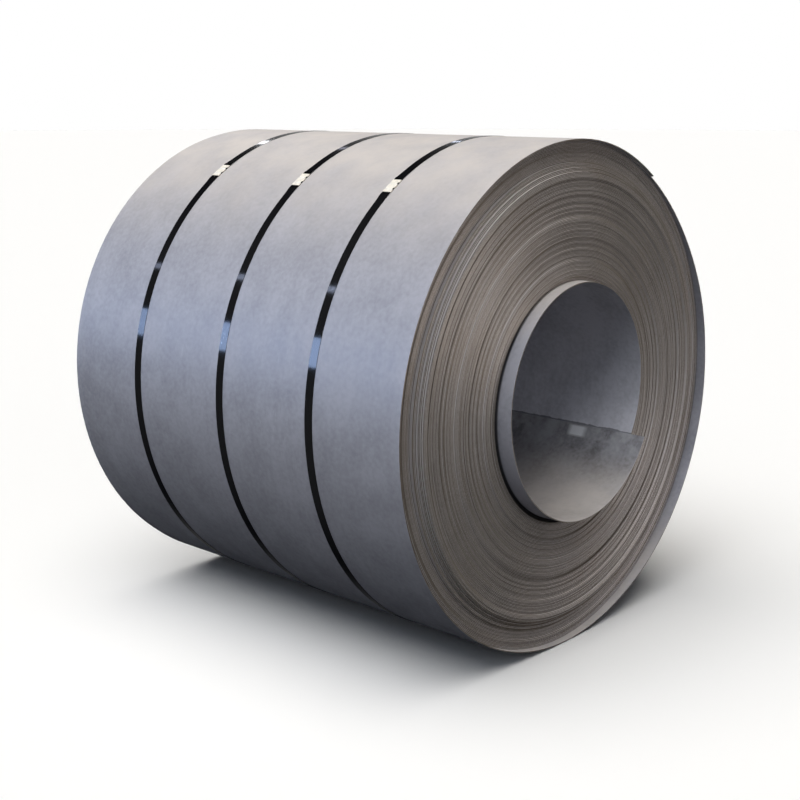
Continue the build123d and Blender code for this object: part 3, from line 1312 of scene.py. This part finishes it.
@dataclass(frozen=True)
class MillScaleFinish:
    """Hot-rolled strip: blue-grey mill scale on its faces and brown oxide on its edges.

    Attributes:
        axis_height: Height of the eye's axis over the floor.
        gap_angle: Angle at which the gap beside the innermost turn is deepest, in degrees.
        scale_dark: Scale in the darker clouds.
        scale_pale: Scale in the paler clouds.
        lit_wall_scale: Paler, warmer scale on the walls of the steps at the ends, painted light where the rim
            shades them.
        bore_lit_dark: Scale in the eye, in the darker clouds, painted paler than the scale outside as painted
            light.
        bore_lit_pale: Scale in the eye, in the paler clouds, painted paler than the scale outside as painted
            light.
        bore_bottom_shade: Painted shade along the bottom of the eye, from the lead end on.
        dust: Dust on what faces up.
        scuffed: Rubbed scale.
        patch_pale: Pale patch beside the lead end.
        gap_shade: Painted shade in the gap beside the innermost turn, strongest on the side where the gap is
            deepest.
        lap_shadow: Dark line behind the lead end.
        edge_dark: Oxide on the darker turns.
        edge_pale: Oxide on the paler turns.
        edge_rust: Brown tint that comes in patches.
        scale_roughness: Least and greatest roughness of the scale.
        edge_roughness: Roughness of the edges.
        sheen: Metallic share of the scale and the edges, which have no other gloss.
        grain_scale: Grains per metre.
        grain_detail: Detail of the grain.
        grain_strength: Strength of the grain.
        grain_depth: Depth of the grain.
        cloud_scale: Clouds per metre.
        streak_rates: Streaks per metre along the eye, and how fast they change round it.
        streak_share: Share of the streaks in the clouds.
        inner_turn: Turns between which the look of the innermost turn ends.
        inner_pale: How much paler its scale is, in clouds.
        inner_rub: How much paler its edge is, from dark to pale.
        step_turns: First and last turn whose face shows as the wall of a step.
        lit_wall_share: Share of that painted light on those walls.
        mouth_x: Where the eye's wall passes from painted shade deep inside to paler and dustier towards its
            mouth, along X.
        bore_depth_shade: How much paler the wall is deep inside and at the mouth, in clouds, which paints
            shade deep in the eye.
        bottom_shade_turn: Turns between which the painted shade along the bottom of the eye ends.
        bottom_shade_least: Strength of that painted shade between the clouds.
        dust_deep: Amount of dust deep in the eye.
        dust_amount: Amount of dust elsewhere.
        dust_starts: Upward part of the normal at which dust starts, outside and in the eye.
        scuff_scale: Scale of the scuffs.
        scuff_amount: Amount of the scuffs.
        ragged_noise: Scale, detail and roughness of the ragged border beside the lead end.
        ragged_span: Noise values between which that border starts.
        border_turn: Turn at which that border ends.
        border_share: Strength of that border.
        patch_x: Ends of the pale patch beside the lead end, along X.
        patch_soft_x: Width of its soft ends along X.
        patch_turn: Ends of that patch along the strip.
        patch_soft_turns: Width of its soft ends along the strip, first and last.
        shadow_turns: Turns between which the dark line lies.
        shadow_ragged: How far the line's start is ragged, in turns.
        shadow_share: Strength of the line.
        gap_x: Where the painted shade in the gap ends, along X.
        gap_radius: Radius up to which the gap reaches.
        gap_soft: Width of the soft end of that painted shade there.
        gap_side: Cosines of the angle from the deepest place between which the painted shade starts.
        gap_shade_strength: Strength of the painted shade.
        edge_tones: Waves per turn, seed and strength of the tones along the edge.
        edge_mottle: Strength of the clouds on the edge.
        rust_noise: Scale, detail and roughness of the patches of rust.
        rust_span: Noise values between which a patch starts.
        rust_share: Strength of the rust.
    """

    axis_height: float
    gap_angle: float
    scale_dark: Colour = (0.30, 0.306, 0.352)
    scale_pale: Colour = (0.42, 0.425, 0.482)
    lit_wall_scale: Colour = (0.58, 0.55, 0.55)
    bore_lit_dark: Colour = (0.42, 0.43, 0.48)
    bore_lit_pale: Colour = (0.62, 0.63, 0.70)
    bore_bottom_shade: Colour = (0.17, 0.168, 0.18)
    dust: Colour = (0.65, 0.60, 0.56)
    scuffed: Colour = (0.57, 0.585, 0.63)
    patch_pale: Colour = (0.78, 0.80, 0.84)
    gap_shade: Colour = (0.03, 0.03, 0.032)
    lap_shadow: Colour = (0.02, 0.02, 0.022)
    edge_dark: Colour = (0.117, 0.101, 0.085)
    edge_pale: Colour = (0.249, 0.223, 0.191)
    edge_rust: Colour = (0.172, 0.138, 0.104)
    scale_roughness: Pair = (0.47, 0.59)
    edge_roughness: float = 0.37
    sheen: float = 0.05
    grain_scale: float = 420.0
    grain_detail: float = 2.0
    grain_strength: float = 0.12
    grain_depth: float = 0.4 * MM
    cloud_scale: float = 8.0
    streak_rates: Pair = (26.0, 1.3)
    streak_share: float = 0.2
    inner_turn: Pair = (0.9, 1.1)
    inner_pale: float = 0.42
    inner_rub: float = 0.6
    step_turns: Pair = (1.4, 108.0)
    lit_wall_share: float = 0.85
    mouth_x: Pair = (0.05, 0.62)
    bore_depth_shade: Pair = (-0.1, 0.35)
    bottom_shade_turn: Pair = (0.25, 0.45)
    bottom_shade_least: float = 0.6
    dust_deep: float = 0.05
    dust_amount: float = 0.9
    dust_starts: Pair = (0.5, 0.58)
    scuff_scale: float = 28.0
    scuff_amount: float = 0.3
    ragged_noise: Triple = (14.0, 4.0, 0.65)
    ragged_span: Pair = (0.42, 0.6)
    border_turn: float = 0.07
    border_share: float = 0.4
    patch_x: Pair = (0.487, 0.57)
    patch_soft_x: float = 0.02
    patch_turn: Pair = (0.001, 0.020)
    patch_soft_turns: Pair = (0.003, 0.004)
    shadow_turns: Pair = (0.9935, 1.001)
    shadow_ragged: float = 0.008
    shadow_share: float = 0.6
    gap_x: Pair = (0.7285, 0.7345)
    gap_radius: float = 0.3975
    gap_soft: float = 1 * MM
    gap_side: Pair = (-0.1, 0.5)
    gap_shade_strength: float = 0.9
    edge_tones: tuple[Triple, ...] = ((1.7, 11.0, 0.25), (0.13, 3.0, 0.15))
    edge_mottle: float = 0.3
    rust_noise: Triple = (3.1, 5.0, 0.6)
    rust_span: Pair = (0.45, 0.7)
    rust_share: float = 0.5

    def material(self) -> bpy.types.Material:
        """Make the material."""
        material, w, shader = new_material("mill_scale_steel")
        here = self._read(w)
        across, around = self.streak_rates
        streaks = EffectShelf.use(w, ShaderEffect.STREAKS, Across=across, Around=around)
        clouds = w.mix(self.streak_share, here.mottle, streaks)
        mouth = w.fade(here.along, *self.mouth_x, 0.0, 1.0)
        bore = self._bore_colour(w, here, clouds, mouth)
        scale = w.blend(here.is_bore, self._face_colour(w, here, clouds), bore)
        scale = self._lead_marks(w, here, scale)
        bore_dust = w.mix(mouth, self.dust_deep, self.dust_amount)
        amount = w.mix(here.is_bore, self.dust_amount, bore_dust)
        start = w.mix(here.is_bore, *self.dust_starts)
        dust = EffectShelf.use(w, ShaderEffect.DUST, Amount=amount, Start=start)
        scale = w.blend(dust, scale, self.dust)
        scuffs = EffectShelf.use(w, ShaderEffect.SCUFFS, Scale=self.scuff_scale, Amount=self.scuff_amount)
        scale = w.blend(scuffs, scale, self.scuffed)
        steel = w.blend(here.is_edge, scale, self._edge_colour(w, here))
        # Painted shade: darken the gap beside the innermost turn
        steel = w.blend(self._gap_shade_mask(w, here), steel, self.gap_shade)
        w.feed(shader.inputs["Base Color"], steel)
        roughness = w.mix(clouds, *self.scale_roughness)
        w.feed(shader.inputs["Roughness"], w.mix(here.is_edge, roughness, self.edge_roughness))
        shader.inputs["Metallic"].default_value = self.sheen
        shader.inputs["Specular IOR Level"].default_value = 0.0
        grain = w.noise(here.place, self.grain_scale, self.grain_detail)
        relief = {"Strength": self.grain_strength, "Distance": self.grain_depth, "Height": grain}
        w.feed(shader.inputs["Normal"], w.node("ShaderNodeBump", relief).outputs["Normal"])
        return material

    def _read(self, w: Wiring) -> StripPoint:
        """Read what the strip's mesh and its place give.

        Args:
            w: Wiring of the material.

        Returns:
            What was read.
        """
        place = w.node("ShaderNodeTexCoord").outputs["Object"]
        names = ("strip_turn", "strip_edge", "strip_bore")
        stored = [w.node("ShaderNodeAttribute", attribute_name=name).outputs["Fac"] for name in names]
        mottle = EffectShelf.use(w, ShaderEffect.MOTTLE, Scale=self.cloud_scale)
        return StripPoint(place, *w.from_axis(place, self.axis_height), *stored, mottle)

    def _face_colour(self, w: Wiring, here: StripPoint, clouds: Term) -> bpy.types.NodeSocket:
        """Colour the strip's faces outside the eye: cloudy scale, painted paler on the walls of the steps as
        painted light.

        Args:
            w: Wiring of the material.
            here: What the material reads.
            clouds: Mask of the clouds and the streaks.

        Returns:
            The colour of the scale.
        """
        pale = w.total(clouds, w.fade(here.turn, *self.inner_turn, self.inner_pale, 0.0))
        scale = w.blend(pale, self.scale_dark, self.scale_pale)
        # Painted light: the walls of the steps get a paler, warmer scale
        first, last = self.step_turns
        past_first = w.math("GREATER_THAN", here.turn, first)
        steps = w.product(past_first, w.math("LESS_THAN", here.turn, last), self.lit_wall_share)
        return w.blend(steps, scale, self.lit_wall_scale)

    def _bore_colour(
        self, w: Wiring, here: StripPoint, clouds: Term, mouth: Term
    ) -> bpy.types.NodeSocket:
        """Colour the wall of the eye: a paler copy of the scale as painted light, with painted shade deep
        inside and along its bottom.

        Args:
            w: Wiring of the material.
            here: What the material reads.
            clouds: Mask of the clouds and the streaks.
            mouth: Mask of the mouth of the eye.

        Returns:
            The colour of the wall.
        """
        # Painted shade: the wall's scale is darker deep inside the eye and paler towards its mouth
        pale = w.total(clouds, w.mix(mouth, *self.bore_depth_shade))
        # Painted light: the scale in the eye is a paler copy of the scale outside
        bore = w.blend(pale, self.bore_lit_dark, self.bore_lit_pale)
        # Painted shade along the bottom of the eye, from the lead end on, broken up by the clouds
        bottom_shaded = w.fade(here.turn, *self.bottom_shade_turn, 1.0, 0.0)
        return w.blend(w.product(bottom_shaded, w.mix(here.mottle, self.bottom_shade_least, 1.0)), bore, self.bore_bottom_shade)

    def _lead_marks(self, w: Wiring, here: StripPoint, scale: Term) -> bpy.types.NodeSocket:
        """Add the marks beside the lead end: a rubbed border, one pale patch and the dark line behind it.

        Args:
            w: Wiring of the material.
            here: What the material reads.
            scale: Colour of the scale.

        Returns:
            The colour with the marks.
        """
        ragged = w.noise(here.place, *self.ragged_noise)
        beside = w.fade(here.turn, 0.0, self.border_turn, 1.0, 0.0)
        border = w.product(beside, w.fade(ragged, *self.ragged_span, 0.0, 1.0), here.is_bore)
        low, high = self.patch_x
        first, last = self.patch_turn
        soft_first, soft_last = self.patch_soft_turns
        patch = w.product(
            w.fade(here.along, low, low + self.patch_soft_x, 0.0, 1.0),
            w.fade(here.along, high - self.patch_soft_x, high, 1.0, 0.0),
            w.fade(here.turn, first, first + soft_first, 0.0, 1.0),
            w.fade(here.turn, last - soft_last, last, 1.0, 0.0),
            here.is_bore,
        )
        marked = w.blend(w.product(border, self.border_share), scale, self.scuffed)
        marked = w.blend(patch, marked, self.patch_pale)
        shadow_start, shadow_end = self.shadow_turns
        shadow_start = w.total(shadow_start, w.product(ragged, self.shadow_ragged))
        past_start = w.math("GREATER_THAN", here.turn, shadow_start)
        shadow = w.product(past_start, w.math("LESS_THAN", here.turn, shadow_end), here.is_bore)
        return w.blend(w.product(shadow, self.shadow_share), marked, self.lap_shadow)

    def _gap_shade_mask(self, w: Wiring, here: StripPoint) -> bpy.types.NodeSocket:
        """Give the mask of the painted shade in the gap beside the innermost turn, strongest on the side
        where it is deepest.

        Args:
            w: Wiring of the material.
            here: What the material reads.

        Returns:
            The mask.
        """
        inside = w.fade(here.radius, self.gap_radius, self.gap_radius + self.gap_soft, 1.0, 0.0)
        deep = w.fade(here.along, *self.gap_x, 1.0, 0.0)
        deepest = math.radians(self.gap_angle)
        reach = w.total(w.product(here.across, math.cos(deepest)), w.product(here.over, math.sin(deepest)))
        sided = w.fade(w.math("DIVIDE", reach, here.radius), *self.gap_side, 0.0, self.gap_shade_strength)
        return w.product(inside, deep, sided, w.rest(here.is_bore))

    def _edge_colour(self, w: Wiring, here: StripPoint) -> bpy.types.NodeSocket:
        """Colour the strip's edge: each turn has its own tone, and the innermost one is rubbed pale.

        Args:
            w: Wiring of the material.
            here: What the material reads.

        Returns:
            The colour of the edge.
        """
        tone = w.total(0.5, w.fade(here.turn, *self.inner_turn, self.inner_rub, 0.0))
        for rate, seed, strength in self.edge_tones:
            tone = w.total(tone, w.product(w.line_noise(here.turn, rate, seed), strength))
        tone = w.total(tone, w.product(w.total(here.mottle, -0.5), self.edge_mottle))
        edge = w.blend(tone, self.edge_dark, self.edge_pale)
        rust = w.fade(w.noise(here.place, *self.rust_noise), *self.rust_span, 0.0, self.rust_share)
        return w.blend(rust, edge, self.edge_rust)


@dataclass(frozen=True)
class StrapFinish:
    """Glossy black wax paint on the straps, a little scuffed.

    Attributes:
        paint: Colour of the paint.
        bare: Steel that shows in the scuffs.
        roughness: Least and greatest roughness of the paint.
        mirror: Share of the paint that mirrors as metal does.
        flat_mirror: How much of that is left where the paint is seen at a flat angle.
        scuff_scale: Scale of the scuffs.
        scuff_amount: Amount of the scuffs.
        cloud_scale: Clouds per metre.
    """

    paint: Colour = (0.0105, 0.0105, 0.0115)
    bare: Colour = (0.05, 0.05, 0.053)
    roughness: Pair = (0.06, 0.10)
    mirror: float = 0.7
    flat_mirror: float = 0.45
    scuff_scale: float = 60.0
    scuff_amount: float = 0.5
    cloud_scale: float = 22.0

    def material(self) -> bpy.types.Material:
        """Make the material."""
        material, w, shader = new_material("black_strap")
        scuffs = EffectShelf.use(w, ShaderEffect.SCUFFS, Scale=self.scuff_scale, Amount=self.scuff_amount)
        mottle = EffectShelf.use(w, ShaderEffect.MOTTLE, Scale=self.cloud_scale)
        w.feed(shader.inputs["Base Color"], w.blend(scuffs, self.paint, self.bare))
        w.feed(shader.inputs["Roughness"], w.mix(mottle, *self.roughness))
        shader.inputs["Metallic"].default_value = self.mirror
        shader.inputs["Specular Tint"].default_value = rgba((self.flat_mirror,) * 3)
        shader.inputs["Specular IOR Level"].default_value = 0.0
        return material


@dataclass(frozen=True)
class ZincFinish:
    """Bright zinc coat on the seals.

    Attributes:
        bright: Clean zinc.
        dull: Zinc in the duller patches.
        roughness: Roughness of the clean and of the dull zinc.
        sheen: Metallic share of the coat.
        cloud_scale: Clouds per metre.
        cloud_share: How dull the clouds are.
        scuff_scale: Scale of the scuffs.
        scuff_amount: Amount of the scuffs.
    """

    bright: Colour = (0.86, 0.81, 0.71)
    dull: Colour = (0.58, 0.54, 0.47)
    roughness: Pair = (0.44, 0.60)
    sheen: float = 0.1
    cloud_scale: float = 70.0
    cloud_share: float = 0.7
    scuff_scale: float = 90.0
    scuff_amount: float = 0.6

    def material(self) -> bpy.types.Material:
        """Make the material."""
        material, w, shader = new_material("zinc_seal")
        mottle = EffectShelf.use(w, ShaderEffect.MOTTLE, Scale=self.cloud_scale)
        scuffs = EffectShelf.use(w, ShaderEffect.SCUFFS, Scale=self.scuff_scale, Amount=self.scuff_amount)
        dullness = w.math("MAXIMUM", w.product(mottle, self.cloud_share), scuffs)
        w.feed(shader.inputs["Base Color"], w.blend(dullness, self.bright, self.dull))
        w.feed(shader.inputs["Roughness"], w.mix(dullness, *self.roughness))
        shader.inputs["Metallic"].default_value = self.sheen
        return material


@dataclass(frozen=True)
class SoftLamp:
    """A distant soft lamp.

    Attributes:
        name: Name of the lamp.
        angle: Angle round the eye that the light comes from, in degrees.
        lean: How far the lamp leans along X, as a share of its distance.
        spread: Width of the lamp in the sky, in degrees.
        colour: Colour of the light.
        strength: Light on a surface that faces it, where pi makes a white one white.
    """

    name: str
    angle: float
    lean: float
    spread: float
    colour: Colour
    strength: float

    def build(self) -> None:
        """Hang the lamp."""
        data = bpy.data.lights.new(self.name, "SUN")
        data.energy = self.strength
        data.color = self.colour
        data.angle = math.radians(self.spread)
        turn = math.radians(self.angle)
        towards = Vector((self.lean, math.cos(turn), math.sin(turn)))
        lamp = add_object(self.name, data)
        lamp.rotation_euler = (-towards).to_track_quat("-Z", "Y").to_euler()


@dataclass(frozen=True)
class GlintLamp:
    """A lamp that only shows as a glint, in the straps or on the rounded edges of the strip.

    Attributes:
        name: Name of the lamp.
        place: Middle of the lamp.
        aim: Point that it is turned to.
        length: Length along the floor.
        height: Height across it.
        colour: Colour of the light.
        power: Power in watts.
    """

    name: str
    place: Triple
    aim: Triple
    length: float
    height: float
    colour: Colour
    power: float

    def build(self) -> None:
        """Hang the lamp."""
        data = bpy.data.lights.new(self.name, "AREA")
        data.shape = "RECTANGLE"
        data.size = self.length
        data.size_y = self.height
        data.color = self.colour
        data.energy = self.power
        lamp = add_object(self.name, data)
        lamp.location = self.place
        aim = Vector(self.aim) - Vector(self.place)
        lamp.rotation_euler = aim.to_track_quat("-Z", "Y").to_euler()
        lamp.visible_camera = False
        lamp.visible_diffuse = False


@dataclass
class Studio:
    """Floor, sky, lamps and camera.

    Attributes:
        floor_radius: Radius of the floor.
        floor_sides: Sides of the floor's outline.
        floor_white: Floor as the camera and reflections see it.
        floor_bounce: Floor as it lights the coil from below.
        floor_roughness: Roughness of the floor.
        sky: Sky as it lights the scene.
        lamps: The lamps.
        camera_place: Place of the camera.
        camera_pitch: Degrees that the camera looks down.
        camera_turn: Degrees that the camera is turned about Z.
        lens: Focal length in millimetres.
        sensor: Width of the sensor in millimetres.
    """

    floor_radius: float = 60.0
    floor_sides: int = 96
    floor_white: float = 0.98
    floor_bounce: float = 0.05
    floor_roughness: float = 0.9
    sky: Colour = (0.009, 0.008, 0.010)
    lamps: tuple[SoftLamp | GlintLamp, ...] = (
        SoftLamp("warm_key", 108.0, 0.0, 66.0, (1.0, 0.97, 0.92), 2.85),
        SoftLamp("cool_fill", 130.0, 0.1, 56.0, (0.74, 0.85, 1.0), 0.66),
        SoftLamp("front_fill", 155.0, 1.8, 60.0, (0.95, 0.97, 1.0), 0.4),
        GlintLamp("strap_glint", (-4.5, -5.5, 2.4), (-4.5, 0.0, 1.2), 5.0, 1.3, (0.50, 0.68, 1.0), 1200.0),
        GlintLamp("thin_glint", (-4.2, -4.0, 4.7), (-4.2, 0.0, 1.2), 5.0, 0.25, (0.7, 0.8, 1.0), 130.0),
        GlintLamp("back_glint", (-4.9, 3.0, 4.05), (-0.44, -0.24, 1.6), 1.0, 0.25, (0.95, 0.97, 1.0), 45.0),
        GlintLamp(
            "middle_glint", (-4.23, 2.98, 4.4), (-0.03, -0.26, 1.61), 0.6, 0.14, (0.85, 0.85, 1.0), 4.5
        ),
        GlintLamp("near_glint", (-3.47, 4.03, 3.57), (0.37, -0.16, 1.64), 0.4, 0.1, (0.75, 0.82, 1.0), 3.0),
        GlintLamp("edge_glint", (6.10, 2.68, 1.35), (0.75, 0.0, 0.83), 2.0, 1.8, (1.0, 0.95, 0.95), 1620.0),
    )
    camera_place: Triple = (3.18226, -3.52366, 1.79810)
    camera_pitch: float = 12.84
    camera_turn: float = 42.19
    lens: float = 61.33
    sensor: float = 36.0

    def build(self) -> None:
        """Set up the studio."""
        self._floor()
        self._sky()
        for lamp in self.lamps:
            lamp.build()
        self._camera()
        bpy.context.scene.view_settings.view_transform = "Standard"

    @staticmethod
    def _seen(w: Wiring) -> bpy.types.NodeSocket:
        """Give a mask of the rays that show the background: from the camera, a mirror or a glass."""
        path = w.node("ShaderNodeLightPath").outputs
        mirrored = w.math("MAXIMUM", path["Is Glossy Ray"], path["Is Transmission Ray"])
        return w.math("MAXIMUM", path["Is Camera Ray"], mirrored)

    def _floor(self) -> None:
        """Lay a pale floor that keeps the shadow and lights the coil little from below."""
        mesh = bpy.data.meshes.new("studio_floor")
        work = bmesh.new()
        bmesh.ops.create_circle(work, cap_ends=True, segments=self.floor_sides, radius=self.floor_radius)
        work.to_mesh(mesh)
        work.free()
        material, w, shader = new_material("studio_floor")
        w.feed(shader.inputs["Base Color"], w.mix(self._seen(w), self.floor_bounce, self.floor_white))
        shader.inputs["Roughness"].default_value = self.floor_roughness
        shader.inputs["Specular IOR Level"].default_value = 0.0
        mesh.materials.append(material)
        floor = add_object("studio_floor", mesh)

    def _sky(self) -> None:
        """Light the scene from a plain sky that the camera and reflections see as white."""
        world = bpy.data.worlds.new("studio_sky")
        bpy.context.scene.world = world
        world.use_nodes = True
        w = Wiring(world.node_tree)
        colour = w.blend(self._seen(w), self.sky, WHITE)
        w.feed(world.node_tree.nodes["Background"].inputs["Color"], colour)

    def _camera(self) -> None:
        """Stand the camera where the photo was taken."""
        data = bpy.data.cameras.new("photo_camera")
        data.lens = self.lens
        data.sensor_width = self.sensor
        camera = add_object("photo_camera", data)
        camera.location = self.camera_place
        camera.rotation_euler = (math.radians(90 - self.camera_pitch), 0.0, math.radians(self.camera_turn))
        bpy.context.scene.camera = camera


def main() -> None:
    """Build the coil and its studio in order."""
    logging.basicConfig(level=logging.INFO, format="%(name)s %(message)s")
    sizes = RollSizes.from_frame()
    EffectShelf(sizes.axis_height).build()
    roll = WoundStrip(sizes)
    mill_scale = MillScaleFinish(sizes.axis_height, roll.gap_angle).material()
    black_paint = StrapFinish().material()
    zinc = ZincFinish().material()
    straps = [Strap(band, roll) for band in Band]
    items = [(roll, mill_scale)]
    for strap in straps:
        items += [(strap, black_paint), (Seal(strap), zinc)]
    for item, finish in items:
        piece = item.build(finish)
        item.dress(piece)
        report(piece)
    Studio().build()


if __name__ == "__main__":
    main()
